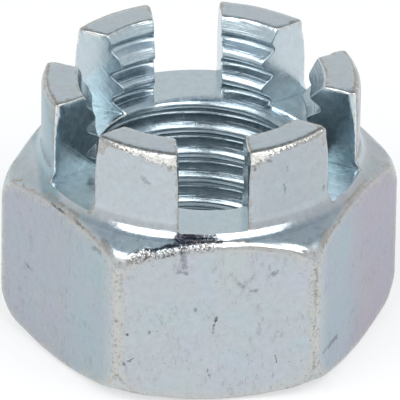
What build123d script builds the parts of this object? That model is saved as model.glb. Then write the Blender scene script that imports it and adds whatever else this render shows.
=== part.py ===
from build123d import *
import os
from math import cos, hypot, radians, tan

# Castle nut, M16 x 2, machined from one piece of steel.
# Millimetres. The origin is the centre of the bearing face, and +Z runs along the bore to the crown.
# Two of the six flats face -Y and +Y, and each cotter-pin slot is centred on a flat.

# Hexagon
across_flats = 24.0
upright_edge_radius = 0.4   # rounding of the six upright edges
bearing_d = 23.0            # flat ring that presses on the joint
bearing_angle = 30.0        # chamfer of the lower corners, from the horizontal
shoulder_angle = 30.0       # cone that cuts the upper corners, from the horizontal

# Crown
height = 18.9               # from the bearing face to the top of the crown
slot_floor = 13.0           # from the bearing face to the floor of the slots
crown_d = 22.0
bevel_width = 0.3           # bevel round the top of the crown, measured across
bevel_height = 0.6
root_radius = 1.5           # hollow fillet between the crown and the shoulder

# Slots
slot_count = 6
slot_width = 4.7
slot_corner_radius = 0.3    # between the floor and the walls of a slot
slot_edge_radius = 0.15     # where the walls of a slot leave the crown

# Bore. Its wall is the minor diameter of the thread, which is not cut here.
bore_d = 14.0
mouth_d = 17.1              # countersink at both ends of the bore
mouth_angle = 30.0          # from the horizontal

crown_r = crown_d / 2
corner_r = across_flats / 2 / cos(radians(30))


def hexagon_bar():
    """The bar that the nut is turned from, with its upright edges rounded."""
    outline = RegularPolygon(across_flats / 2, 6, major_radius=False)
    outline = fillet(outline.vertices(), upright_edge_radius)
    return extrude(outline, height)


def turned_form():
    """What the lathe leaves outside: bearing chamfer, shoulder, root fillet and crown."""
    bearing_r = bearing_d / 2
    outside_r = corner_r + 1
    chamfer_rise = (outside_r - bearing_r) * tan(radians(bearing_angle))
    shoulder_drop = (outside_r - crown_r) * tan(radians(shoulder_angle))
    half_section = make_face(Polyline(
        (0, 0),
        (bearing_r, 0),
        (outside_r, chamfer_rise),
        (outside_r, slot_floor - shoulder_drop),
        (crown_r, slot_floor),
        (crown_r, height - bevel_height),
        (crown_r - bevel_width, height),
        (0, height),
        close=True,
    ))
    root = half_section.vertices().sort_by_distance((crown_r, slot_floor, 0))[0]
    return revolve(Plane.XZ * fillet(root, root_radius), Axis.Z)


def bore():
    """Minor-diameter bore, countersunk at both ends."""
    bore_r = bore_d / 2
    mouth_r = mouth_d / 2
    mouth_depth = (mouth_r - bore_r) * tan(radians(mouth_angle))
    half_section = make_face(Polyline(
        (0, 0),
        (mouth_r, 0),
        (bore_r, mouth_depth),
        (bore_r, height - mouth_depth),
        (mouth_r, height),
        (0, height),
        close=True,
    ))
    return revolve(Plane.XZ * half_section, Axis.Z)


def slots():
    """Cutters for the slots, each running outwards from the axis through the middle of a flat."""
    depth = height - slot_floor
    profile = Pos(0, slot_floor + depth / 2) * Rectangle(slot_width, depth)
    lower_corners = profile.vertices().group_by(Axis.Y)[0]
    cutter = extrude(Plane.XZ * fillet(lower_corners, slot_corner_radius), corner_r)
    return [Rot(0, 0, 360 / slot_count * i) * cutter for i in range(slot_count)]


def on_crown_wall(edge):
    """True for an upright edge that lies on the outside of the crown."""
    middle = edge.center()
    return abs(hypot(middle.X, middle.Y) - crown_r) < 0.01


nut = (hexagon_bar() & turned_form()) - bore() - slots()
nut = fillet(nut.edges().filter_by(Axis.Z).filter_by(on_crown_wall), slot_edge_radius)
nut.label = "castle_nut"

os.makedirs("parts", exist_ok=True)
export_step(nut, "parts/castle_nut.step")
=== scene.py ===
from math import asin, cos, pi, radians, sin, sqrt, tan

import bmesh
import bpy
import numpy as np
from mathutils import Matrix, Vector, kdtree, noise


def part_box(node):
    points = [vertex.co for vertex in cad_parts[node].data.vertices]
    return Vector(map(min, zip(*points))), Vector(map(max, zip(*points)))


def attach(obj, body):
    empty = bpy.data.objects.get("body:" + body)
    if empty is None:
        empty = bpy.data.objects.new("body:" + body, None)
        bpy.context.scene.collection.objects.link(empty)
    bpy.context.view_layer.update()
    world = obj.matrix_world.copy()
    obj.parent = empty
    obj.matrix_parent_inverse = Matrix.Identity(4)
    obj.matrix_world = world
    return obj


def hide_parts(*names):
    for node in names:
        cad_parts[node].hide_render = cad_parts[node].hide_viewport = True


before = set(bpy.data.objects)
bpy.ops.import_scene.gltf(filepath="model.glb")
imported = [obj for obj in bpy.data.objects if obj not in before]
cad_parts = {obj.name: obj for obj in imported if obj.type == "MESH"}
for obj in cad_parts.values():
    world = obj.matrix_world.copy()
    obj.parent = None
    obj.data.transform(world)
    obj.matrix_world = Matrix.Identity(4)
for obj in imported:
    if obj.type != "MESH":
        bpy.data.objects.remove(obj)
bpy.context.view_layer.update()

# ---------------------------------------------------------------- sizes, in millimetres

MM = 0.001
nut_low, nut_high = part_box("castle_nut")
HEIGHT = (nut_high[2] - nut_low[2]) / MM
HALF_FLATS = (nut_high[1] - nut_low[1]) / MM / 2
UPRIGHT_EDGE_R = 0.7        # worn wider than in the CAD, which keeps the visual model inside it
BEARING_R = 11.6
BEARING_ANGLE = radians(30)
SHOULDER_ANGLE = radians(30)
SLOT_FLOOR = 13.0
CROWN_R = 11.0
TOP_ROUND = 0.42            # radial width of the worn rounding round the crown's top
TOP_ROUND_HEIGHT = 0.75
TOP_ROUND_EXTRA = 0.35      # how much wider it gets at the prong that is worn most
MOST_WORN = radians(40)     # direction of that prong's most worn corner
WALL_ROUND = 0.22           # rounding between a prong's top and its walls
CORNER_ROUND = 0.28         # rounding of a prong's outer upright corners, low down
CORNER_ROUND_TOP = 0.85     # and at its top
CORNER_ROUND_SETS_IN = 0.6  # height above the slot floor at which it is complete
CORNER_ROUND_WIDENS = 2.5   # height above the slot floor from which it widens
CORNER_ROUND_OVER = 2.6     # and the height over which it does
CORNER_START = 13.0         # radius from which shoulder and bearing chamfer bend over towards the corners
# Each turned end: inner radius, slope, how it bends over, and how far its edge with a flat is rounded
SHOULDER = (CROWN_R, tan(SHOULDER_ANGLE), 1.9, 0.48)
CHAMFER = (BEARING_R, tan(BEARING_ANGLE), 2.2, 0.2)
ROOT_R = 1.5
HALF_SLOT = 2.35
SLOTS = 6                   # one on the middle of each flat
CUTTER_SLIP = {0: -0.21, 3: 0.14}           # how far these slots are off the middle of a flat, anticlockwise
SLIP_ANGLES = (radians(15), radians(44))    # to each side of such a slot, where that fades and where it stops
SLIP_DEPTH = 0.8            # how far below the slot floor the slip sets in
SLIP_OVER = 0.6             # and the height over which it does
BACK_SINK = 0.1             # how much deeper the slot at +Y is
SINK_ANGLES = (radians(17), radians(34))    # to each side of it, where that fades and where it stops
SINK_HEIGHTS = (0.2, 1.2)                   # and above and below its floor
BORE_R = 7.0
MOUTH_R = 8.55
MOUTH_SLOPE = tan(radians(30))
TOP_MOUTH = 0.5             # how much narrower the worn mouth between the prongs gets per millimetre of depth
TOP_MOUTH_EXTRA = 0.7       # and how much more so at the prong that is worn least
LEAST_WORN = radians(-50)   # direction of that prong's least worn corner

# Thread: right-hand, M16 x 2
PITCH = 2.0
THREAD_ROOT_R = 8.1
ROOT_HALF_FLAT = 0.15
FLANK = tan(radians(60))
CREST_SOFTNESS = 0.17       # how gently a flank turns into a crest
BROKEN_LIP = 0.2            # a turn thinner than this at a slot's floor has broken away
BROKEN_LIP_FADE = 0.3       # distance from a slot's walls within which that fades
PRONG_THREAD_WEAR = 0.24    # how much wider the thread is between the prongs than below them
PRONG_WEAR_OVER = 1.5       # height over which it gets that much wider
ROOT_HEIGHT = 1.06          # height of the middle of a groove in the direction of +X
THREAD_STEPS = (0.0, 0.14, 0.26, 0.42, 0.54, 0.66, 0.78, 0.88, 1.0)     # heights of the rows of half a pitch

SECTOR = 2 * pi / SLOTS
FIRST_SLOT = -pi / 2

# Root fillet between crown and shoulder
FILLET_X = CROWN_R + ROOT_R
FILLET_Z = SLOT_FLOOR + ROOT_R * (1 - sin(SHOULDER_ANGLE)) / cos(SHOULDER_ANGLE)
FILLET_END_R = FILLET_X - ROOT_R * sin(SHOULDER_ANGLE)
RIM_R = FILLET_X - sqrt(ROOT_R ** 2 - (FILLET_Z - SLOT_FLOOR) ** 2)   # outer edge of a slot's floor

# The mesh
NEAR_EDGE = (0.0, 0.08, 0.18, 0.32, 0.55)       # distances from an edge at which it has its rows
NEAR_TOP = NEAR_EDGE + (0.7, 0.85)              # the same down a prong, whose top is rounded further
CLIMB_OVER = 0.6            # from a prong's foot and top, over which its rows turn from level to climbing
MERGED = 0.002              # points nearer to each other than this are one
HOLLOW = radians(25)        # hollow edges that turn by more than this stay crisp
TINY = 1e-6                 # keeps a division from being by nothing

# Wear of the edges
SHARP = radians(20)         # edges that turn by more than this are worn
SAMPLE_STEP = 0.05          # between the points that stand for an edge
WEAR_REACH = 0.45           # from an edge, within which its wear varies
SOFTNESS = 0.5              # how far smoothing draws a point towards its neighbours at a time
SOFTNESS_VARIES = 0.35      # and how much further or less far in places
SMOOTHINGS = 5
SOFT_REACH = 0.35           # from a sharp edge, within which the mesh is smoothed
NICK_REACH = 0.3            # from an edge, within which it is nicked
NICK_DEPTH = 0.07


# ---------------------------------------------------------------- form of the nut

def fade(value, start, end):
    """1 up to start, 0 from end on, smooth between."""
    share = np.clip((end - value) / (end - start), 0, 1)
    return share * share * (3 - 2 * share)


def hexagon_r(angle):
    """Distance from the axis to the outside of the hexagon, with its upright edges rounded."""
    off_flat = (angle - FIRST_SLOT + SECTOR / 2) % SECTOR - SECTOR / 2
    centre_r = (HALF_FLATS - UPRIGHT_EDGE_R) / cos(SECTOR / 2)
    tangent_angle = np.arctan2(centre_r * sin(SECTOR / 2), HALF_FLATS)
    off_corner = SECTOR / 2 - np.abs(off_flat)
    reach = np.maximum(UPRIGHT_EDGE_R ** 2 - (centre_r * np.sin(off_corner)) ** 2, 0)
    rounded = centre_r * np.cos(off_corner) + np.sqrt(reach)
    return np.where(np.abs(off_flat) > tangent_angle, rounded, HALF_FLATS / np.cos(off_flat))


def thread_r(angle, z):
    """Distance from the axis to the threaded wall, with the countersinks at both ends."""
    turn = (z - ROOT_HEIGHT) / PITCH - angle / (2 * pi)
    from_root = np.abs(turn - np.round(turn)) * PITCH
    above_crest = THREAD_ROOT_R - BORE_R - (from_root - ROOT_HALF_FLAT) * FLANK
    wall = BORE_R + CREST_SOFTNESS * np.log1p(np.exp(above_crest / CREST_SOFTNESS))
    worn = np.clip((z - SLOT_FLOOR) / PRONG_WEAR_OVER, 0, 1)
    wall = np.minimum(wall, THREAD_ROOT_R) + PRONG_THREAD_WEAR * worn
    bottom_mouth = MOUTH_R - z / MOUTH_SLOPE
    unworn = np.clip(np.cos(angle - LEAST_WORN), 0, 1) ** 2
    top_mouth = MOUTH_R - (HEIGHT - z) * (TOP_MOUTH + TOP_MOUTH_EXTRA * unworn)
    return np.maximum(wall, np.maximum(bottom_mouth, top_mouth))


def crown_r(z):
    """Distance from the axis to the outside of a prong with a sharp top, from the slot floor up."""
    below = np.clip(FILLET_Z - z, 0, None)
    fillet = FILLET_X - np.sqrt(ROOT_R ** 2 - below ** 2)
    return np.where(z < FILLET_Z, fillet, CROWN_R)


# ---------------------------------------------------------------- columns of the mesh

def centred(half, distances):
    """Positions from -half to half, at these distances from both ends and at the middle."""
    return np.array([d - half for d in distances] + [0.0] + [half - d for d in reversed(distances)])


def columns(sector, across, share):
    """Mesh columns: millimetres from the middle plane of a slot, and share of the way over the next prong."""
    return np.broadcast_arrays(np.asarray(sector, float), across, share)


def column_angle(cols, r):
    """Angle round the nut of mesh columns at radius r."""
    sector, across, share = cols
    prong_angle = SECTOR - 2 * np.arcsin(HALF_SLOT / r)
    return FIRST_SLOT + sector * SECTOR + np.arcsin(across / r) + share * prong_angle


def one_column(cols, which):
    """The first of mesh columns, where which is 0, or the last, where it is -1."""
    return tuple(values[which] for values in cols)


def on_thread(cols, z):
    """Angle and radius of mesh columns on the threaded wall at height z."""
    r = np.full(np.broadcast(cols[0], z).shape, BORE_R)
    broken = np.clip((HALF_SLOT - np.abs(cols[1])) / BROKEN_LIP_FADE, 0, 1)
    broken = broken * (np.abs(z - SLOT_FLOOR) < BROKEN_LIP)
    for _ in range(8):
        angle = column_angle(cols, r)
        whole = thread_r(angle, z)
        r = whole + broken * np.clip(thread_r(angle, z - BROKEN_LIP) - whole, 0, None)
    return column_angle(cols, r), r


def point(angle, r, z):
    return np.stack(np.broadcast_arrays(r * np.cos(angle), r * np.sin(angle), z), axis=-1)


# Where the columns are: across a slot in millimetres, and over a prong as shares of its width
SLOT_STEPS = centred(HALF_SLOT, NEAR_EDGE + (0.9, 1.4, 1.9))
PRONG_HALF = RIM_R * (SECTOR / 2 - asin(HALF_SLOT / RIM_R))
FROM_MIDDLE = (5.0, 4.3, 3.0, 2.0, 1.35, 0.9, 0.6, 0.38, 0.27, 0.18, 0.09)     # closest at a hexagon's corner
FROM_WALL = (0.0, 0.03) + NEAR_EDGE[1:] + tuple(PRONG_HALF - d for d in FROM_MIDDLE if d < PRONG_HALF - 0.7)
PRONG_STEPS = centred(PRONG_HALF, FROM_WALL) / (2 * PRONG_HALF) + 0.5

ring_parts = []
for sector in range(SLOTS):
    ring_parts.append(columns(sector, SLOT_STEPS[:-1], 0.0))
    ring_parts.append(columns(sector, HALF_SLOT, PRONG_STEPS[:-1]))
ring_parts.append(columns(SLOTS, SLOT_STEPS[:1], 0.0))
RING = [np.concatenate(values) for values in zip(*ring_parts)]


# ---------------------------------------------------------------- patches of the surface

FLATS, TURNED, MILLED, THREAD = range(4)
patches = []


def add_patch(points, finish):
    patches.append((points, finish))


def straight(start, end, middle_rows):
    """Rows from start to end, each (radius, height), close together near both ends."""
    start, end = (np.stack(np.broadcast_arrays(*np.atleast_1d(*place)), axis=-1) for place in (start, end))
    length = np.hypot(*np.moveaxis(end - start, -1, 0))
    near = np.array(NEAR_EDGE)[:, None] * np.minimum(1, length * 0.3 / NEAR_EDGE[-1])
    shares = np.linspace(0, 1, middle_rows + 2)[1:-1, None]
    middle = near[-1] + (length - 2 * near[-1]) * shares
    share = np.concatenate([near, middle, length - near[::-1]]) / length
    return np.moveaxis(start + (end - start) * share[..., None], -1, 0)


def end_depth(end, r):
    """How far a turned end has dropped at radius r: a cone that bends over near the corners."""
    start, slope, bend, _ = end
    return (r - start) * slope + bend * np.clip(r - CORNER_START, 0, None) ** 2


def end_edge(end, flats_r, share):
    """Radius and depth on the rounding between a turned end and a flat, at a share of the way to the flat."""
    _, slope, bend, reach = end
    normal = np.arctan(1 / (slope + 2 * bend * np.clip(flats_r - CORNER_START, 0, None)))
    r = reach / np.tan(normal / 2)
    turn = normal * (1 - share)
    return flats_r - r + r * np.cos(turn), end_depth(end, flats_r) + reach - r * np.sin(turn)


def end_face(end, inner_r, outer_r, outer_depth, rows):
    """Radius and depth on a turned end, from its rounding inwards."""
    r = straight((outer_r, 0.0), (inner_r, 0.0), rows)[0]
    gap = outer_depth - end_depth(end, outer_r)
    return r, end_depth(end, r) + gap * (r - inner_r) / (outer_r - inner_r)


def outside():
    """Root fillet, shoulder, hexagon, bearing chamfer and bearing ring."""
    angle = column_angle(RING, RIM_R)
    flats_r = hexagon_r(angle)
    share = np.linspace(0, 1, 9)[:, None]
    top_r, top_depth = end_edge(SHOULDER, flats_r, share)
    shoulder_r, shoulder_depth = end_face(SHOULDER, FILLET_END_R, top_r[0], top_depth[0], 4)
    top_z, shoulder_z = SLOT_FLOOR - top_depth, SLOT_FLOOR - shoulder_depth
    bottom_r, bottom_z = end_edge(CHAMFER, flats_r, share)
    chamfer_r, chamfer_z = end_face(CHAMFER, BEARING_R, bottom_r[0], bottom_z[0], 3)
    turn = np.linspace(asin((FILLET_Z - SLOT_FLOOR) / ROOT_R), pi / 2 - SHOULDER_ANGLE, 6)[:, None]
    middle = len(share) // 2        # of a rounding, where one finish gives way to the other
    add_patch(point(angle, FILLET_X - ROOT_R * np.cos(turn), FILLET_Z - ROOT_R * np.sin(turn)), TURNED)
    add_patch(point(angle, shoulder_r, shoulder_z), TURNED)
    add_patch(point(angle, top_r[:middle + 1], top_z[:middle + 1]), TURNED)
    add_patch(point(angle, top_r[middle:], top_z[middle:]), FLATS)
    add_patch(point(angle, *straight((flats_r, top_z[-1]), (flats_r, bottom_z[-1]), 20)), FLATS)
    add_patch(point(angle, bottom_r[middle:], bottom_z[middle:]), FLATS)
    add_patch(point(angle, bottom_r[:middle + 1], bottom_z[:middle + 1]), TURNED)
    add_patch(point(angle, chamfer_r, chamfer_z), TURNED)
    r, z = straight((BEARING_R, 0.0), (MOUTH_R, 0.0), 4)
    inward = (BEARING_R - r) / (BEARING_R - MOUTH_R)
    add_patch(point(column_angle(RING, RIM_R + (MOUTH_R - RIM_R) * inward), r, z), TURNED)


def helix_heights(first, last):
    """Heights above a groove's middle, at the corners of the thread's section, turn after turn."""
    steps = list(THREAD_STEPS) + [PITCH - s for s in reversed(THREAD_STEPS[1:-1])]
    return np.array([turn * PITCH + s for turn in range(first, last) for s in steps])


def bore_below():
    """Threaded wall from the bearing face to the slot floors; its rows climb with the thread."""
    near = np.array(NEAR_EDGE)[:-1, None]
    climb = ROOT_HEIGHT + PITCH * column_angle(RING, BORE_R) / (2 * pi)
    rows = climb + helix_heights(-2, 7)[:, None]
    rows = np.clip(rows, near[-1], SLOT_FLOOR - near[-1])
    z = np.concatenate([near + 0 * climb, rows, SLOT_FLOOR - near[::-1] + 0 * climb])
    add_patch(point(*on_thread(RING, z), z), THREAD)


def slot_floor(sector):
    """Floor of a slot, from the nut's outside to the thread."""
    cols = columns(sector, SLOT_STEPS, 0.0)
    inner_r = on_thread(cols, SLOT_FLOOR)[1]
    inner = np.sqrt(inner_r ** 2 - SLOT_STEPS ** 2)
    outer = np.sqrt(RIM_R ** 2 - SLOT_STEPS ** 2)
    along = straight((outer, 0.0), (inner, 0.0), 6)[0]
    r = np.hypot(along, SLOT_STEPS)
    add_patch(point(column_angle(cols, r), r, SLOT_FLOOR), MILLED)


def rounded(points, sector):
    """Points of a sharp prong, moved so that its top and its outer corners are rounded."""
    x, y, z = np.moveaxis(points, -1, 0)
    r = np.hypot(x, y)
    outward = np.stack([x / r, y / r, 0 * z], axis=-1)
    normals = []
    for slot, side in ((sector, 1), (sector + 1, -1)):
        angle = FIRST_SLOT + slot * SECTOR
        normals.append(side * np.array([-sin(angle), cos(angle), 0.0]))
    from_walls = [points @ normal - HALF_SLOT for normal in normals]
    first = (from_walls[0] < from_walls[1])[..., None]
    normal = np.where(first, *normals)

    # in plan, the corner between wall and outside
    rise = np.clip((z - SLOT_FLOOR) / CORNER_ROUND_SETS_IN, 0, 1)
    wider = np.clip((z - SLOT_FLOOR - CORNER_ROUND_WIDENS) / CORNER_ROUND_OVER, 0, 1) ** 2
    corner = TINY + rise * (CORNER_ROUND + (CORNER_ROUND_TOP - CORNER_ROUND) * wider)
    u = np.clip(1 - np.minimum(*from_walls) / corner, 0, 1)
    v = np.clip(1 - (crown_r(z) - r) / corner, 0, 1)
    reach = np.maximum(np.hypot(u, v), TINY)
    plan = corner * (1 - np.maximum(u, v) / reach)

    # from there inwards, the edge round the top
    worn = np.clip(np.cos(np.arctan2(y, x) - MOST_WORN), 0, 1) ** 4
    width = WALL_ROUND + (TOP_ROUND + TOP_ROUND_EXTRA * worn - WALL_ROUND) * (v / reach) ** 2
    height = WALL_ROUND + (TOP_ROUND_HEIGHT - WALL_ROUND) * (v / reach) ** 2
    edge = np.clip(1 - corner * (1 - np.maximum(u, v)) / width, 0, 1)
    top = np.clip(1 - (HEIGHT - z) / height, 0, 1)
    gain = 1 - np.maximum(edge, top) / np.maximum(np.hypot(edge, top), TINY)
    across = plan * u + width * edge * gain * u / reach
    inward = plan * v + width * edge * gain * v / reach
    down = np.stack([0 * z, 0 * z, height * top * gain], axis=-1)
    return points + across[..., None] * normal - inward[..., None] * outward - down


def along_slot(r):
    """How far out along its slot a slot's wall is at radius r."""
    return np.sqrt(r ** 2 - HALF_SLOT ** 2)


def side_wall(side, level, top_r, inner_r, inner_z):
    """Points of a prong's side wall, filled in between its four edges."""
    bottom = straight((along_slot(RIM_R), 0.0), (along_slot(inner_r[0]), 0.0), 6)[0][:, 0]
    top = along_slot(top_r)
    u = (bottom - bottom[0]) / (bottom[-1] - bottom[0])
    v = (level - SLOT_FLOOR) / (HEIGHT - SLOT_FLOOR)
    along = ((1 - u) * along_slot(crown_r(level)) + u * along_slot(inner_r)[:, None]
             + (1 - v) * bottom + v * top
             - (1 - u) * (1 - v) * bottom[0] - (1 - u) * v * top[0]
             - u * (1 - v) * bottom[-1] - u * v * top[-1])
    r = np.hypot(along, HALF_SLOT)
    return point(column_angle(side, r), r, (1 - u) * level + u * inner_z[:, None])


def prong(sector):
    """Outside, top, inside and both side walls of the prong that follows a slot."""
    cols = columns(sector, HALF_SLOT, PRONG_STEPS)
    foot, top = SLOT_FLOOR + np.array(NEAR_EDGE), HEIGHT - np.array(NEAR_TOP[::-1])
    middle_turn = PITCH * column_angle(cols, BORE_R) / (2 * pi)
    base = np.median(middle_turn)
    heights = ROOT_HEIGHT + base + helix_heights(4, 11)
    heights = heights[(heights > foot[-1] + 0.03) & (heights < top[0] - 0.1)]
    level = np.concatenate([foot, heights, top])[:, None]

    r = crown_r(level) + 0 * cols[0]
    add_patch(rounded(point(column_angle(cols, r), r, level), sector), TURNED)

    r_top = straight((CROWN_R, HEIGHT), (MOUTH_R, HEIGHT), 6)[0]
    add_patch(rounded(point(column_angle(cols, r_top + 0 * cols[0]), r_top, HEIGHT), sector), TURNED)

    free = np.clip(np.minimum(level - SLOT_FLOOR, HEIGHT - level) / CLIMB_OVER, 0, 1)
    z = level + (middle_turn - base) * free
    angle, r_in = on_thread(cols, z)
    add_patch(rounded(point(angle, r_in, z), sector), THREAD)

    for which in (0, -1):
        wall = side_wall(one_column(cols, which), level, r_top[:, 0], r_in[:, which], z[:, which])
        add_patch(rounded(wall, sector), MILLED)


outside()
bore_below()
for sector in range(SLOTS):
    slot_floor(sector)
    prong(sector)


def as_cut(points):
    """Points moved as the cutter ran: two slots are off the middle of their flats, and one is deeper."""
    angle = np.arctan2(points[:, 1], points[:, 0])
    r = np.hypot(points[:, 0], points[:, 1])
    z = points[:, 2]
    above = np.clip((z - SLOT_FLOOR + SLIP_DEPTH) / SLIP_OVER, 0, 1)
    for slot, slip in CUTTER_SLIP.items():
        off = np.abs((angle - FIRST_SLOT - slot * SECTOR + pi) % (2 * pi) - pi)
        angle = angle + slip / r * above * fade(off, *SLIP_ANGLES)
    off = np.abs(angle - pi / 2)
    sink = BACK_SINK * fade(off, *SINK_ANGLES) * fade(np.abs(z - SLOT_FLOOR), *SINK_HEIGHTS)
    return point(angle, r, z - sink)


# ---------------------------------------------------------------- one closed mesh

def finishes_at(edge):
    return {face.material_index for face in edge.link_faces}


def is_floor_rim(edge):
    """Whether an edge is the outer end of a slot's floor."""
    low_down = all(vert.co.z < (SLOT_FLOOR + 0.01) * MM for vert in edge.verts)
    return low_down and finishes_at(edge) == {MILLED, TURNED}


def joined_mesh(name):
    """All patches as one closed mesh, with the finish of each face and sharp hollow edges."""
    points, faces, finishes = [], [], []
    start = 0
    for grid, finish in patches:
        rows, cols = grid.shape[:2]
        index = start + np.arange(rows * cols).reshape(rows, cols)
        quads = np.stack([index[:-1, :-1], index[:-1, 1:], index[1:, 1:], index[1:, :-1]], axis=-1)
        faces.append(quads.reshape(-1, 4))
        finishes.append(np.full(len(faces[-1]), finish))
        points.append(grid.reshape(-1, 3))
        start += rows * cols
    mesh = bpy.data.meshes.new(name)
    mesh.from_pydata(as_cut(np.concatenate(points)) * MM, [], np.concatenate(faces).tolist())
    mesh.polygons.foreach_set("material_index", np.concatenate(finishes).astype(np.int32))
    bm = bmesh.new()
    bm.from_mesh(mesh)
    bmesh.ops.remove_doubles(bm, verts=bm.verts, dist=MERGED * MM)
    bmesh.ops.dissolve_degenerate(bm, edges=bm.edges, dist=MERGED / 2 * MM)
    bmesh.ops.recalc_face_normals(bm, faces=bm.faces)
    for edge in bm.edges:
        hollow = not edge.is_convex and edge.calc_face_angle(0.0) > HOLLOW
        edge.smooth = not (hollow and finishes_at(edge) != {THREAD}) and not is_floor_rim(edge)
    bm.to_mesh(mesh)
    bm.free()
    mesh.shade_smooth()
    return mesh


mesh = joined_mesh("castle_nut_finish")


# ---------------------------------------------------------------- rounded and worn edges

def vertex_vectors(mesh, name):
    """The place ("co") or the normal of each vertex."""
    flat = np.empty(len(mesh.vertices) * 3, dtype=np.float32)
    mesh.vertices.foreach_get(name, flat)
    return flat.reshape(-1, 3).astype(float)


def move_to(mesh, points):
    """Moves the vertices to points in millimetres."""
    mesh.vertices.foreach_set("co", (points * MM).ravel())
    mesh.update()


def along_edge(start, end):
    """Points from start to end, no further apart than SAMPLE_STEP."""
    steps = 1 + int((end - start).length / SAMPLE_STEP)
    return [start.lerp(end, share) for share in np.linspace(0, 1, steps + 1)]


def edge_samples(mesh):
    """Points along the nut's sharp convex edges: those clear of the thread, and those where it is cut off."""
    bm = bmesh.new()
    bm.from_mesh(mesh)
    clear, cut_off = [], []
    for edge in bm.edges:
        if edge.calc_face_angle(0.0) < SHARP or not edge.is_convex or is_floor_rim(edge):
            continue
        finishes = finishes_at(edge)
        if finishes != {THREAD}:
            level = abs(edge.verts[0].co.z - edge.verts[1].co.z) < 0.02 * MM
            samples = cut_off if finishes == {THREAD, MILLED} and not level else clear
            samples += along_edge(*(vert.co / MM for vert in edge.verts))
    bm.free()
    return clear, cut_off


def edge_lines():
    """Points along the edges of the hexagon and the rounded edges of the prongs."""
    samples = []
    for sector in range(SLOTS):
        around = FIRST_SLOT + (sector + np.linspace(-0.5, 0.5, 160)) * SECTOR
        flats_r = hexagon_r(around)
        r, depth = end_edge(SHOULDER, flats_r, 0.5)
        top = point(around, r, SLOT_FLOOR - depth)
        bottom = point(around, *end_edge(CHAMFER, flats_r, 0.5))
        samples += [Vector(p) for p in np.concatenate([top, bottom])]
        samples += along_edge(Vector(bottom[0]), Vector(top[0]))
        cols = columns(sector, HALF_SLOT, np.linspace(0, 1, 120))
        rim = [point(column_angle(cols, np.full(120, CROWN_R)), CROWN_R, HEIGHT)]
        for which in (0, -1):
            side = one_column(cols, which)
            up = np.linspace(SLOT_FLOOR + 0.3, HEIGHT, 120)
            rim.append(point(column_angle(side, crown_r(up)), crown_r(up), up))
            across = np.linspace(MOUTH_R, CROWN_R, 60)
            rim.append(point(column_angle(side, across), across, HEIGHT))
        samples += [Vector(p) for p in as_cut(rounded(np.concatenate(rim), sector))]
    return samples


def distance_to(samples, points):
    """Distance from each point to the nearest sample."""
    tree = kdtree.KDTree(len(samples))
    for i, sample in enumerate(samples):
        tree.insert(sample, i)
    tree.balance()
    return np.array([tree.find(p)[2] for p in points])


def smooth(points, links, weight, rounds):
    """Draws each point towards the mean of its neighbours by its weight."""
    a, b = links
    count = np.bincount(np.concatenate([a, b]), minlength=len(points))[:, None]
    for _ in range(rounds):
        total = np.zeros_like(points)
        np.add.at(total, a, points[b])
        np.add.at(total, b, points[a])
        points = points + weight[:, None] * (total / count - points)
    return points


def grain(points, size, seed):
    """Smooth noise from about -1 to 1 at each point, with features of that size in millimetres."""
    shift = Vector((17.3, -9.1, 4.7)) * seed
    return np.array([noise.noise(Vector(p) / size + shift) for p in points])


def edge_softness(points, near, from_sharp):
    """How far smoothing draws each point: only near sharp edges, and not at the rims of the slot floors."""
    softness = np.full(len(points), SOFTNESS)
    softness[near] += SOFTNESS_VARIES * grain(points[near], 1.4, 1)
    outer = np.hypot(points[:, 0], points[:, 1]) > (BORE_R + RIM_R) / 2
    floor_rim = outer * fade(np.abs(points[:, 2] - SLOT_FLOOR), 0.05, 0.35)
    return softness * np.clip(1 - from_sharp / SOFT_REACH, 0, 1) * (1 - floor_rim)


def nick_depth(points, near, distance):
    """How deep each point is nicked: larger nicks in places, and fine ones among them."""
    nicks = np.zeros(len(points))
    nicks[near] = np.clip(grain(points[near], 0.45, 2) - 0.12, 0, 1)
    nicks[near] += 0.5 * np.clip(grain(points[near], 0.2, 3), 0, 1)
    return NICK_DEPTH * nicks * np.clip(1 - distance / NICK_REACH, 0, 1)


def wear(mesh):
    """Rounds the edges, nicks them here and there, and keeps each point's distance from an edge."""
    points = vertex_vectors(mesh, "co") / MM
    clear, cut_off = edge_samples(mesh)
    from_sharp = distance_to(clear + cut_off, points)
    distance = distance_to(clear + edge_lines(), points)
    links = np.empty(len(mesh.edges) * 2, dtype=np.int32)
    mesh.edges.foreach_get("vertices", links)
    near = distance < WEAR_REACH
    points = smooth(points, links.reshape(-1, 2).T, edge_softness(points, near, from_sharp), SMOOTHINGS)
    move_to(mesh, points)
    depth = nick_depth(points, near, distance)
    move_to(mesh, points - depth[:, None] * vertex_vectors(mesh, "normal"))
    kept = mesh.attributes.new("edge_distance", "FLOAT", "POINT")
    kept.data.foreach_set("value", distance.astype(np.float32))


wear(mesh)
nut = bpy.data.objects.new("castle_nut_finish", mesh)
bpy.context.scene.collection.objects.link(nut)
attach(nut, "root")
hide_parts("castle_nut")


# ---------------------------------------------------------------- materials

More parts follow.
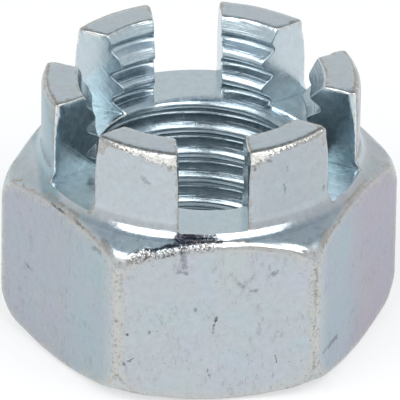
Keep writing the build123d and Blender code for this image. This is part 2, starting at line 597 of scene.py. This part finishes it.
class Nodes:
    """A node tree, with short names for the nodes that it is made of."""

    def __init__(self, tree):
        self.tree = tree

    def add(self, kind):
        return self.tree.nodes.new(kind)

    def put(self, socket, value):
        if isinstance(value, bpy.types.NodeSocket):
            self.tree.links.new(value, socket)
        else:
            socket.default_value = value

    def math(self, operation, a, b=0.0, clamp=False):
        node = self.add("ShaderNodeMath")
        node.operation = operation
        node.use_clamp = clamp
        self.put(node.inputs[0], a)
        self.put(node.inputs[1], b)
        return node.outputs[0]

    def plus(self, a, b):
        return self.math("ADD", a, b)

    def minus(self, a, b):
        return self.math("SUBTRACT", a, b)

    def over(self, a, b):
        return self.math("DIVIDE", a, b)

    def times(self, value, *factors):
        """The value times all factors."""
        for factor in factors:
            value = self.math("MULTIPLY", value, factor)
        return value

    def most(self, value, *others):
        """The greatest of the values."""
        for other in others:
            value = self.math("MAXIMUM", value, other)
        return value

    def vector(self, operation, a, b=None, scale=None):
        node = self.add("ShaderNodeVectorMath")
        node.operation = operation
        self.put(node.inputs[0], a)
        if b is not None:
            self.put(node.inputs[1], b)
        if scale is not None:
            self.put(node.inputs["Scale"], scale)
        return node.outputs["Value" if operation in ("LENGTH", "DOT_PRODUCT") else "Vector"]

    def parts(self, vector):
        node = self.add("ShaderNodeSeparateXYZ")
        self.put(node.inputs[0], vector)
        return node.outputs

    def join(self, x, y, z):
        node = self.add("ShaderNodeCombineXYZ")
        for socket, value in zip(node.inputs, (x, y, z)):
            self.put(socket, value)
        return node.outputs[0]

    def ramp(self, value, low, high, start=0.0, end=1.0):
        """Smoothly from start, where the value is low, to end, where it is high."""
        node = self.add("ShaderNodeMapRange")
        node.interpolation_type = "SMOOTHSTEP"
        for socket, number in zip(node.inputs, (value, low, high, start, end)):
            self.put(socket, number)
        return node.outputs["Result"]

    def mix(self, share, a, b):
        node = self.add("ShaderNodeMix")
        node.data_type = "RGBA"
        self.put(node.inputs["Factor"], share)
        for socket, colour in zip([i for i in node.inputs if i.type == "RGBA"], (a, b)):
            self.put(socket, colour)
        return [o for o in node.outputs if o.type == "RGBA"][0]


class Shading(Nodes):
    """A material, with the places on the nut that it depends on. Lengths are in millimetres."""

    def __init__(self, name):
        self.material = bpy.data.materials.new(name)
        self.material.use_nodes = True
        super().__init__(self.material.node_tree)
        self.shader = self.tree.nodes["Principled BSDF"]
        place = self.add("ShaderNodeTexCoord").outputs["Object"]
        self.place = self.vector("SCALE", place, scale=1 / MM)
        self.axes = self.parts(self.place)
        x, y, z = self.axes
        self.radius = self.vector("LENGTH", self.join(x, y, 0.0))
        angle = self.math("ARCTAN2", y, x)

        # the same place as each tool saw it
        self.turned = self.join(self.radius, angle, z)
        off_slot = self.minus(angle, FIRST_SLOT - SECTOR / 2)
        off_slot = self.minus(self.math("FLOORED_MODULO", off_slot, SECTOR), SECTOR / 2)
        across = self.times(self.radius, self.math("SINE", off_slot))
        up_wall = self.times(self.minus(self.radius, z), self.ramp(z, SLOT_FLOOR + 0.02, SLOT_FLOOR + 0.1))
        self.milled = self.join(up_wall, across, angle)
        climb = self.times(angle, PITCH / (2 * pi))
        self.threaded = self.join(self.radius, angle, self.minus(z, climb))

        # where the crown's top is rounded, and its root fillet
        depth = self.over(self.minus(HEIGHT, z), TOP_ROUND_HEIGHT)
        inset = self.over(self.minus(CROWN_R, self.radius), TOP_ROUND)
        self.brink = self.minus(depth, inset)       # -1 to 1 down the rounding
        self.at_brink = self.ramp(self.most(depth, inset), 1.7, 1.2)
        from_fillet = self.math("ABSOLUTE", self.minus(self.radius, CROWN_R + 0.35))
        below_crown = self.ramp(z, SLOT_FLOOR + 1.1, SLOT_FLOOR + 0.7)
        self.fillet = self.times(self.ramp(from_fillet, 0.6, 0.35), below_crown)

        distance = self.add("ShaderNodeAttribute")
        distance.attribute_name = "edge_distance"
        self.edge_distance = distance.outputs["Fac"]

    def scaled(self, vector, *sizes):
        return self.vector("MULTIPLY", vector, sizes)

    def stroke(self, where, start, end, width):
        """1 near the line between two points, fading to 0 at width from it."""
        start, along = Vector(start), Vector(end) - Vector(start)
        off = self.vector("SUBTRACT", where, start)
        share = self.math("DIVIDE", self.vector("DOT_PRODUCT", off, along), along.length_squared, clamp=True)
        nearest = self.vector("SCALE", along, scale=share)
        distance = self.vector("LENGTH", self.vector("SUBTRACT", off, nearest))
        return self.ramp(distance, width, 0.4 * width)

    def noise(self, size, seed=0.0, detail=2.0, rough=0.5, stretch=(1, 1, 1), where=None):
        """Noise from 0 to 1 with features of that size, longer by stretch along each axis. Detail is how many
        finer layers it has, and rough how strong they are."""
        spread = self.vector("DIVIDE", where or self.place, [size * s for s in stretch])
        node = self.add("ShaderNodeTexNoise")
        self.put(node.inputs["Vector"], self.vector("ADD", spread, (seed, 1.7 * seed, -seed)))
        self.put(node.inputs["Scale"], 1.0)
        self.put(node.inputs["Detail"], detail)
        self.put(node.inputs["Roughness"], rough)
        return node.outputs["Fac"]

    def bump(self, *heights):
        """Adds up (height, depth in millimetres) pairs as small relief."""
        normal = None
        for height, depth in heights:
            node = self.add("ShaderNodeBump")
            self.put(node.inputs["Distance"], depth * MM)
            self.put(node.inputs["Height"], height)
            if normal:
                self.put(node.inputs["Normal"], normal)
            normal = node.outputs["Normal"]
        self.put(self.shader.inputs["Normal"], normal)


X, Y, Z = 0, 1, 2

# Colours of the plating on the four finishes, of its wear and dirt, and of painted highlights and dark
# reflections
FLAT_ZINC = (0.505, 0.545, 0.575)
TURNED_ZINC = (0.515, 0.56, 0.59)
MILLED_ZINC = (0.565, 0.66, 0.70)
THREAD_ZINC = (0.42, 0.50, 0.545)
EDGE = (0.42, 0.39, 0.35, 1)
FLAT_EDGE = (0.54, 0.52, 0.48, 1)
CORNER = (0.58, 0.58, 0.55, 1)
# pale band painted as a highlight on the burred rims of the two prongs nearest -Y
RIM_HIGHLIGHT = (0.88, 0.865, 0.82, 1)
STAIN = (0.25, 0.22, 0.19, 1)
# near black: specks and scratches, and dark reflections painted on the battered edge and above it
DARK_SPECK_AND_REFLECTION = (0.045, 0.047, 0.06, 1)
# painted highlight along the edges of the slot walls and the thread
PAINTED_EDGE_HIGHLIGHT = (0.80, 0.80, 0.78, 1)

# What the plating's colour is multiplied by where it wanders, and where it is scuffed
WANDERING = ((1.02, 0.975, 1.03), (0.94, 1.02, 1.02), (1.02, 1.03, 0.985))
SCUFF = (0.80, 0.77, 0.75)

# The same along an axis, partly as painted shade: where a tint starts and is full, in millimetres, and the
# tint
# the flats at the sides are darker as painted shade, with teal and lilac tints of the plating
FLAT_TINTS_AND_SHADE = (
    (X, 6.9, 8.0, (0.79, 0.85, 0.91)),
    (X, -6.9, -8.0, (0.82, 0.88, 0.91)),
    (X, 9.0, 11.0, (0.84, 0.75, 0.82)),
    (X, -8.8, -10.5, (0.84, 0.83, 0.87)),
)
MILLED_TINTS = (
    (X, 5.5, 7.0, (0.84, 0.845, 0.86)),
    (X, 8.4, 9.8, (0.68, 0.69, 0.71)),
    (Z, SLOT_FLOOR + 0.05, SLOT_FLOOR + 0.15, (1.06, 1.08, 1.09)),
    (Z, SLOT_FLOOR + 0.7, SLOT_FLOOR + 1.7, (0.97, 0.94, 0.94)),
)
THREAD_TINTS = (
    (Z, SLOT_FLOOR - 0.4, SLOT_FLOOR + 0.4, (1.13, 1.13, 1.13)),
)
# darker towards +X, and darker and teal at -X, as painted shade; paler towards the top
CROWN_TINTS_AND_SHADE = (
    (X, 0.5, 3.5, (0.88, 0.88, 0.89)),
    (X, -10.0, -10.5, (0.60, 0.75, 0.79)),
    (X, -11.1, -11.6, (0.97, 1.0, 1.0)),
    (Z, HEIGHT - 0.6, HEIGHT - 0.1, (1.10, 1.12, 1.12)),
)

# Scratches, pits and blots, and a painted dark reflection: both ends and width, in millimetres, and how dark
DARK_REFLECTION_STROKES = (              # painted dark reflection, above the battered top edge of the flat at -Y
    ((-2.6, -11.2, 12.8), (-1.7, -11.4, 12.75), 0.5, 2.0),
    ((-1.7, -11.4, 12.75), (-0.2, -11.4, 12.75), 0.34, 0.8),
    ((-4.5, -11.7, 12.1), (-3.6, -11.55, 12.3), 0.2, 1.8),
    ((-3.6, -11.55, 12.3), (-2.5, -11.5, 12.5), 0.26, 2.0),
    ((-2.5, -11.5, 12.5), (0.2, -11.6, 12.6), 0.26, 2.0),
)
EDGE_SCRATCHES = (      # on the top edge of the next flat towards -X
    ((-10.8, -5.2, 12.3), (-10.0, -6.5, 12.3), 0.13, 0.6),
    ((-9.5, -7.4, 12.3), (-8.9, -8.4, 12.2), 0.13, 0.45),
)
FRONT_MARKS = (         # on the flat at -Y, so each end has its x and z only
    ((6.8, 10.4), (6.8, 8.0), 0.22, 0.38),
    ((6.8, 8.0), (6.8, 5.9), 0.14, 0.3),
    ((6.8, 3.5), (6.8, 2.8), 0.2, 0.3),
    ((-6.6, 10.7), (-6.6, 9.2), 0.14, 0.26),
    ((-6.2, 5.8), (-6.2, 5.75), 0.15, 0.75),
    ((-4.7, 5.8), (-4.65, 5.8), 0.12, 0.52),
    ((-6.4, 3.4), (-6.4, 3.3), 0.14, 0.68),
    ((-6.1, 3.5), (-5.7, 3.8), 0.09, 0.6),
    ((0.0, 6.7), (-0.05, 6.6), 0.15, 0.75),
    ((0.0, 6.7), (-0.2, 6.2), 0.09, 0.68),
    ((-0.2, 6.2), (-0.2, 5.5), 0.08, 0.6),
    ((-1.5, 7.5), (-1.45, 7.4), 0.16, 0.38),
    ((4.1, 3.5), (4.15, 3.0), 0.09, 0.52),
    ((-0.7, 2.7), (-0.4, 1.9), 0.09, 0.45),
    ((2.2, 3.8), (2.2, 2.8), 0.06, 0.38),
    ((-2.4, 12.1), (-2.3, 10.9), 0.3, 0.34),
    ((-2.7, 10.6), (-2.1, 10.4), 0.2, 0.38),
    ((1.5, 9.4), (1.8, 9.1), 0.22, 0.3),
    ((2.3, 8.8), (2.7, 8.8), 0.18, 0.34),
    ((3.8, 10.1), (4.1, 10.2), 0.2, 0.3),
    ((6.5, 11.8), (6.5, 11.7), 0.3, 0.6),
)
SIDE_MARKS = (          # on the flats to its left and right
    ((-12.3, -2.6, 6.1), (-12.0, -3.2, 5.9), 0.1, 0.45),
    ((-8.3, -9.6, 11.3), (-7.9, -10.3, 11.4), 0.22, 0.35),
    ((8.6, -9.0, 3.0), (8.0, -10.2, 3.0), 0.3, 0.45),
    ((8.0, -10.2, 3.0), (7.4, -11.1, 3.0), 0.2, 0.3),
    ((8.7, -8.9, 12.3), (8.8, -8.8, 12.1), 0.25, 0.38),
)
CROWN_MARKS = (
    ((-5.0, -9.8, 16.8), (-4.6, -10.0, 16.5), 0.22, 0.25),
    ((2.6, -10.7, 18.0), (2.6, -10.7, 17.6), 0.2, 0.45),
    ((3.6, -10.4, 18.2), (3.7, -10.4, 18.0), 0.2, 0.38),
    ((4.9, -9.85, 17.3), (4.95, -9.8, 16.9), 0.1, 0.38),
    ((4.7, -9.95, 15.9), (4.75, -9.9, 15.2), 0.1, 0.38),
    ((7.7, -7.9, 14.4), (7.7, -7.9, 14.2), 0.2, 0.3),
)


def on_front(marks):
    """Marks on the flat at -Y, with the full places of their ends."""
    return tuple(((x, -HALF_FLATS, z), (end_x, -HALF_FLATS, end_z), width, share)
                 for (x, z), (end_x, end_z), width, share in marks)


def plating(m, base, wander, tints):
    """The plating's colour, with its tints, which on the side flats and the crown are partly painted shade.
    """
    colour = m.join(*base)
    for axis, start, end, tint in tints:
        tinted = (*(c * t for c, t in zip(base, tint)), 1)
        colour = m.mix(m.ramp(m.axes[axis], start, end), colour, tinted)
    for seed, tint in enumerate(WANDERING, 1):
        there = m.ramp(m.noise(2.8, seed, 3), 0.50, 0.64, 0.0, wander)
        colour = m.mix(there, colour, m.vector("MULTIPLY", colour, tint))
    return colour


def scuffs(m):
    """Dull scuffs in patches."""
    patches = m.ramp(m.noise(2.0, 14, 2), 0.42, 0.6)
    return m.times(patches, m.ramp(m.noise(0.32, 13, 3, 0.6, (1, 1, 2)), 0.52, 0.68))


def dark_marks(m, specks, marks):
    """Fine specks and scratches in patches, and the marks, among them a painted dark reflection, with ragged
    outlines.
    """
    dark = m.ramp(m.noise(0.16, 5, 2, 0.6), 0.63, 0.76, 0.0, 0.8)
    dark = m.times(dark, m.ramp(m.noise(1.1, 6, 2), 0.45, 0.62, 0.0, specks))
    scratch = m.ramp(m.noise(0.11, 7, 1, 0.5, (1, 1, 7)), 0.68, 0.76, 0.0, 0.6 * specks)
    dark = m.most(dark, m.times(scratch, m.ramp(m.noise(1.7, 12, 1), 0.48, 0.62)))
    ragged = m.join(*[m.noise(0.3, seed, 3, 0.65) for seed in (21, 22, 23)])
    ragged = m.vector("SCALE", m.vector("SUBTRACT", ragged, (0.5, 0.5, 0.5)), scale=0.55)
    where = m.vector("ADD", m.place, ragged)
    broken = m.ramp(m.noise(0.17, 24, 3, 0.7), 0.36, 0.54, 0.5, 1.3)
    for start, end, width, share in marks:
        share = m.math("MULTIPLY", broken, share, clamp=True)
        dark = m.most(dark, m.times(m.stroke(where, start, end, width), share))
    return dark


def battered_edge_and_dark_glints(m):
    """The battered half of the top edge of the flat at -Y, where dark specks are painted as reflections in
    its dents.
    """
    x, y, z = m.axes
    along = m.times(m.ramp(x, 1.0, -1.5), m.ramp(x, -6.6, -5.5))
    return m.times(m.ramp(m.edge_distance, 0.45, 0.25), along, m.ramp(y, -10.9, -11.4), m.ramp(z, 11.0, 11.6))


def peened_rim_and_highlight(m, blots):
    """Burr on the rims of the two prongs nearest -Y, with a ragged lower end, where a pale band is painted as
    a highlight.
    """
    x, y, _ = m.axes
    rim = m.times(m.ramp(x, -8.8, -3.8), m.ramp(x, 6.0, 2.4, 0.3, 1.0), m.ramp(y, -5.0, -6.5), m.at_brink)
    lower = m.minus(m.times(rim, 1.6), m.plus(m.brink, m.ramp(blots, 0.3, 0.7, 0.3, 1.1)))
    return m.times(m.ramp(m.brink, -0.75, -0.45), m.ramp(lower, -0.15, 0.1), m.ramp(rim, 0.1, 0.4))


def stains(m, edge, edge_width, edge_share, corner, burr_and_highlight, blots):
    """Brown stains along the edges, on the hexagon's corners, round the crown's top and in the burred rims.
    """
    along = m.ramp(edge, 1.6 * edge_width, 0.4 * edge_width)
    along = m.times(along, m.ramp(blots, 0.56, 0.68, 0.0, edge_share))
    spots = m.times(m.ramp(blots, 0.50, 0.64, 0.0, 0.7), m.ramp(m.noise(0.8, 15, 2), 0.42, 0.6), corner)
    line = m.times(m.ramp(m.math("ABSOLUTE", m.plus(m.brink, 0.92)), 0.38, 0.10), m.at_brink)
    line = m.times(line, m.ramp(m.axes[Y], -4.0, -6.5, 0.4, 1.0), m.ramp(blots, 0.35, 0.60, 0.2, 1.0))
    pits = m.times(burr_and_highlight, m.ramp(m.noise(0.16, 25, 3, 0.7, (2, 2, 1)), 0.56, 0.68, 0.0, 0.7))
    return m.most(along, spots, line, pits)


def zinc(name, base, roughness, wander, tints, specks, marks, edge_paint, edge_share, edge_width, corner_r,
         streaks, streak_depth, grain_depth=0.0):
    """Bright zinc plating.

    Wander is how far its colour strays, and specks how strong its specks and scuffs are. Its edges have their
    own colour, edge_width wide and edge_share strong: brownish wear on the flats and turned faces, and a
    painted highlight on the milled faces and the thread. From corner_r outwards it is paler. Streaks gives
    the place in the noise that makes the marks of the tool or drawing die. Lengths are in millimetres.
    """
    m = Shading(name)
    colour = plating(m, base, wander, tints)
    cloud = m.noise(0.55, 4, 4, 0.65)
    colour = m.vector("SCALE", colour, scale=m.ramp(cloud, 0.3, 0.7, 0.94, 1.04))
    colour = m.mix(m.times(scuffs(m), specks), colour, m.vector("MULTIPLY", colour, SCUFF))
    stray = m.ramp(m.noise(0.5, 10, 3, 0.6), 0.3, 0.7, -0.6 * edge_width, 0.6 * edge_width)
    edge = m.plus(m.edge_distance, stray)
    # the edges' own colour: brownish wear on flats and turned faces, a painted highlight on milled faces and
    # thread
    colour = m.mix(m.ramp(edge, edge_width, 0.3 * edge_width, 0.0, edge_share), colour, edge_paint)
    # dark specks, scratches and marks, and on turned faces the painted dark reflection above the flat at -Y
    colour = m.mix(dark_marks(m, specks, marks), colour, DARK_SPECK_AND_REFLECTION)
    corner = m.ramp(m.radius, corner_r, corner_r + 0.12)
    colour = m.mix(m.times(corner, m.ramp(cloud, 0.35, 0.6, 0.15, 0.5)), colour, CORNER)
    # dark specks painted as reflections in the dents of the battered edge, which also gets lumps
    battered_and_glints = battered_edge_and_dark_glints(m)
    colour = m.mix(m.times(battered_and_glints, m.ramp(m.noise(0.24, 27, 3, 0.65), 0.48, 0.57, 0.0, 0.8)), colour, DARK_SPECK_AND_REFLECTION)
    blots = m.noise(0.22, 8, 3, 0.65)
    burr_and_highlight = peened_rim_and_highlight(m, blots)
    # pale band painted as a highlight on the burred rims
    colour = m.mix(m.times(burr_and_highlight, m.ramp(cloud, 0.35, 0.6, 0.55, 1.0)), colour, RIM_HIGHLIGHT)
    stain = stains(m, edge, edge_width, edge_share, corner, burr_and_highlight, blots)
    m.put(m.shader.inputs["Base Color"], m.mix(stain, colour, STAIN))

    polished = m.most(m.fillet, m.ramp(m.edge_distance, 0.35, 0.15))
    rough = m.ramp(cloud, 0.3, 0.7, roughness - 0.04, roughness + 0.04)
    rough = m.minus(m.plus(rough, m.times(stain, 0.2)), m.times(polished, 0.45 * roughness))
    m.put(m.shader.inputs["Roughness"], m.plus(rough, m.times(burr_and_highlight, 0.12)))
    m.shader.inputs["Metallic"].default_value = 1.0

    lines = m.noise(1.0, 9, 3, 0.6, where=streaks(m))
    lumps = m.times(m.most(burr_and_highlight, m.times(battered_and_glints, 0.6)), m.noise(0.20, 11, 2, 0.6))
    m.bump((lines, streak_depth), (cloud, 0.010), (m.noise(0.22, 26, 3, 0.6), grain_depth), (lumps, 0.10))
    return m.material


mesh.materials.append(zinc(
    "zinc_flats", FLAT_ZINC, roughness=0.38, wander=0.7, tints=FLAT_TINTS_AND_SHADE,
    specks=0.7, marks=EDGE_SCRATCHES + on_front(FRONT_MARKS) + SIDE_MARKS,
    edge_paint=FLAT_EDGE, edge_share=0.5, edge_width=0.6, corner_r=13.53,
    streaks=lambda m: m.scaled(m.place, 2, 2, 0.3), streak_depth=0.003))
mesh.materials.append(zinc(
    "zinc_turned", TURNED_ZINC, roughness=0.30, wander=0.4, tints=CROWN_TINTS_AND_SHADE,
    specks=0.3, marks=DARK_REFLECTION_STROKES + EDGE_SCRATCHES + CROWN_MARKS,
    edge_paint=EDGE, edge_share=0.7, edge_width=0.19, corner_r=13.2,
    streaks=lambda m: m.scaled(m.turned, 9, 0.6, 9), streak_depth=0.005))
mesh.materials.append(zinc(
    "zinc_milled", MILLED_ZINC, roughness=0.18, wander=0.3, tints=MILLED_TINTS,
    specks=0.2, marks=(),
    edge_paint=PAINTED_EDGE_HIGHLIGHT, edge_share=0.7, edge_width=0.13, corner_r=14.0,
    streaks=lambda m: m.scaled(m.milled, 7, 9, 0.5), streak_depth=0.012))
mesh.materials.append(zinc(
    "zinc_thread", THREAD_ZINC, roughness=0.23, wander=0.2, tints=THREAD_TINTS,
    specks=0.1, marks=(),
    edge_paint=PAINTED_EDGE_HIGHLIGHT, edge_share=0.6, edge_width=0.16, corner_r=14.0,
    streaks=lambda m: m.scaled(m.threaded, 3, 0.8, 5), streak_depth=0.045, grain_depth=0.012))


# ---------------------------------------------------------------- floor, backdrop, light

FLOOR_DROP = 0.02 * MM      # keeps the floor clear of the bearing ring, which would flicker in it
FLOOR_REACH = 3.0           # metres to each side
FLOOR_GLOW = 0.55           # share of the floor's white that is its own light, as the camera sees it

# Height of a direction's unit vector, and the dome's colour there
DOME = (
    (0.0, (0.90, 0.90, 0.90)),
    (0.3, (0.84, 0.84, 0.84)),
    (0.55, (0.76, 0.77, 0.78)),
    (0.8, (0.46, 0.53, 0.58)),
    (1.0, (0.38, 0.48, 0.55)),
)

# The dark camera and stand between the lamps: azimuth and elevation of a spot, how far round it everything is
# dark, and how far from it the darkness ends, in degrees
DARK_SPOTS = ((-8, 42, 4, 9), (-10, 56, 7, 12), (-13, 68, 8, 13), (-24, 72, 5, 10))
DARK = (0.015, 0.018, 0.025, 1)


def plane(name, reach, z):
    """A level square that reaches that far to each side."""
    bm = bmesh.new()
    bmesh.ops.create_grid(bm, x_segments=1, y_segments=1, size=reach)
    made = bpy.data.meshes.new(name)
    bm.to_mesh(made)
    bm.free()
    obj = bpy.data.objects.new(name, made)
    obj.location.z = z
    bpy.context.scene.collection.objects.link(obj)
    return obj


def glowing_white(name, glow):
    """Matt white that shows to the camera and in reflections as partly lit from within, and keeps shadows."""
    material = bpy.data.materials.new(name)
    material.use_nodes = True
    nodes = Nodes(material.node_tree)
    matt = nodes.tree.nodes["Principled BSDF"]
    matt.inputs["Base Color"].default_value = (0.95, 0.95, 0.95, 1.0)
    matt.inputs["Roughness"].default_value = 0.9
    matt.inputs["Specular IOR Level"].default_value = 0.1
    light = nodes.add("ShaderNodeEmission")
    light.inputs["Strength"].default_value = 1.0
    rays = nodes.add("ShaderNodeLightPath").outputs
    seen = nodes.most(rays["Is Camera Ray"], rays["Is Glossy Ray"], rays["Is Transmission Ray"])
    both = nodes.add("ShaderNodeMixShader")
    for socket, value in zip(both.inputs, (nodes.times(seen, glow), matt.outputs[0], light.outputs[0])):
        nodes.put(socket, value)
    nodes.put(nodes.tree.nodes["Material Output"].inputs["Surface"], both.outputs[0])
    return material


floor = plane("floor", FLOOR_REACH, nut_low[2] - FLOOR_DROP)
floor.data.materials.append(glowing_white("floor_white", FLOOR_GLOW))


def towards(azimuth, elevation):
    """Unit vector from the nut to that direction, where azimuth is from -Y towards +X, in degrees."""
    a, e = radians(azimuth), radians(elevation)
    return Vector((sin(a) * cos(e), -cos(a) * cos(e), sin(e)))


def dome():
    """World light: white at the horizon and grey-blue overhead, with the dark spots."""
    world = bpy.data.worlds.new("studio")
    bpy.context.scene.world = world
    world.use_nodes = True
    nodes = Nodes(world.node_tree)
    direction = nodes.add("ShaderNodeTexCoord").outputs["Generated"]
    bands = nodes.add("ShaderNodeValToRGB")
    nodes.put(bands.inputs["Fac"], nodes.parts(direction)["Z"])
    stops = bands.color_ramp.elements
    while len(stops) < len(DOME):
        stops.new(0.5)
    for stop, (height, colour) in zip(stops, DOME):
        stop.position = height
        stop.color = (*colour, 1)
    colour = bands.outputs["Color"]
    for azimuth, elevation, inner, outer in DARK_SPOTS:
        ahead = nodes.vector("DOT_PRODUCT", direction, towards(azimuth, elevation))
        colour = nodes.mix(nodes.ramp(ahead, cos(radians(outer)), cos(radians(inner))), colour, DARK)
    nodes.put(nodes.tree.nodes["Background"].inputs["Color"], colour)


def area_light(name, azimuth, elevation, distance, size, power):
    """A soft lamp that looks at the nut; distance and size in metres."""
    lamp = bpy.data.lights.new(name, "AREA")
    lamp.shape = "RECTANGLE"
    lamp.size, lamp.size_y = size
    lamp.energy = power
    obj = bpy.data.objects.new(name, lamp)
    back = towards(azimuth, elevation)
    obj.location = Vector((0, 0, HEIGHT * MM / 2)) + back * distance
    obj.rotation_euler = (-back).to_track_quat("-Z", "Y").to_euler()
    obj.visible_camera = False
    bpy.context.scene.collection.objects.link(obj)


dome()
area_light("lamp_left", azimuth=-47, elevation=50, distance=0.5, size=(0.30, 0.26), power=0.9)
area_light("lamp_right", azimuth=32, elevation=50, distance=0.5, size=(0.36, 0.26), power=1.1)


# ---------------------------------------------------------------- camera

AZIMUTH, ELEVATION, ROLL = -6.25, 30.8, 0.85        # degrees
AIM = Vector((0, 0, 9.0)) * MM
DISTANCE = 728.7 * MM
ASIDE = Vector((0.03116, 0.00346, 0)) * MM          # how far right and up the camera stands of that line
SENSOR = 36.0                                       # width in millimetres, as is the lens
LENS = 947.2

camera = bpy.data.objects.new("camera", bpy.data.cameras.new("camera"))
bpy.context.scene.collection.objects.link(camera)
bpy.context.scene.camera = camera
camera.data.sensor_width = SENSOR
camera.data.lens = LENS
camera.data.clip_start, camera.data.clip_end = 0.01, 20.0
back = towards(AZIMUTH, ELEVATION)
turn = (-back).to_track_quat("-Z", "Y") @ Matrix.Rotation(radians(ROLL), 3, "Z").to_quaternion()
camera.rotation_mode = "QUATERNION"
camera.rotation_quaternion = turn
camera.location = AIM + back * DISTANCE + turn @ ASIDE

bpy.context.scene.view_settings.view_transform = "Standard"
